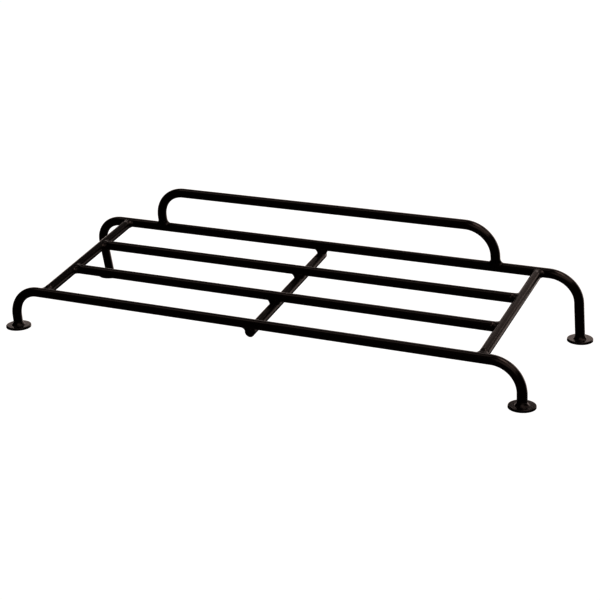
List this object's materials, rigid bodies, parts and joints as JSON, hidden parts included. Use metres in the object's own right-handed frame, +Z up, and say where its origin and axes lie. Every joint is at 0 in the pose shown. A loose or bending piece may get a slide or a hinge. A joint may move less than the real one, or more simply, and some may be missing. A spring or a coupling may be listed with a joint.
{
  "type": "firewood log rack",
  "caption": "Low sloping rack of bent and welded round steel bar, painted satin black, with slats, a low guard along its rear edge and round disc feet.",
  "frame": {"origin": "on the floor, midway between the four feet", "axes": "+X along the rails to the right, +Y to the rear where the guard stands, +Z up"},
  "size_m": [0.712, 0.255, 0.1472],
  "materials": {
    "bar_paint": "satin",
    "foot_paint": "satin",
    "weld_paint": "satin"
  },
  "bodies": {
    "root": {"front_rail": "bar_paint", "rear_rail": "bar_paint", "left_end_bar": "bar_paint", "right_end_bar": "bar_paint", "front_slat": "bar_paint", "rear_slat": "bar_paint", "centre_bar": "bar_paint", "guard": "bar_paint", "front_left_foot": "foot_paint", "front_right_foot": "foot_paint", "rear_left_foot": "foot_paint", "rear_right_foot": "foot_paint", "front_left_foot_weld": "weld_paint", "front_right_foot_weld": "weld_paint", "rear_left_foot_weld": "weld_paint", "rear_right_foot_weld": "weld_paint", "front_left_corner_weld": "weld_paint", "front_right_corner_weld": "weld_paint", "rear_left_corner_weld": "weld_paint", "rear_right_corner_weld": "weld_paint", "front_slat_left_weld": "weld_paint", "front_slat_right_weld": "weld_paint", "rear_slat_left_weld": "weld_paint", "rear_slat_right_weld": "weld_paint", "guard_left_weld": "weld_paint", "guard_right_weld": "weld_paint", "front_rail_cross_weld": "weld_paint", "front_slat_cross_weld": "weld_paint", "rear_slat_cross_weld": "weld_paint", "rear_rail_cross_weld": "weld_paint"}
  },
  "joints": []
}
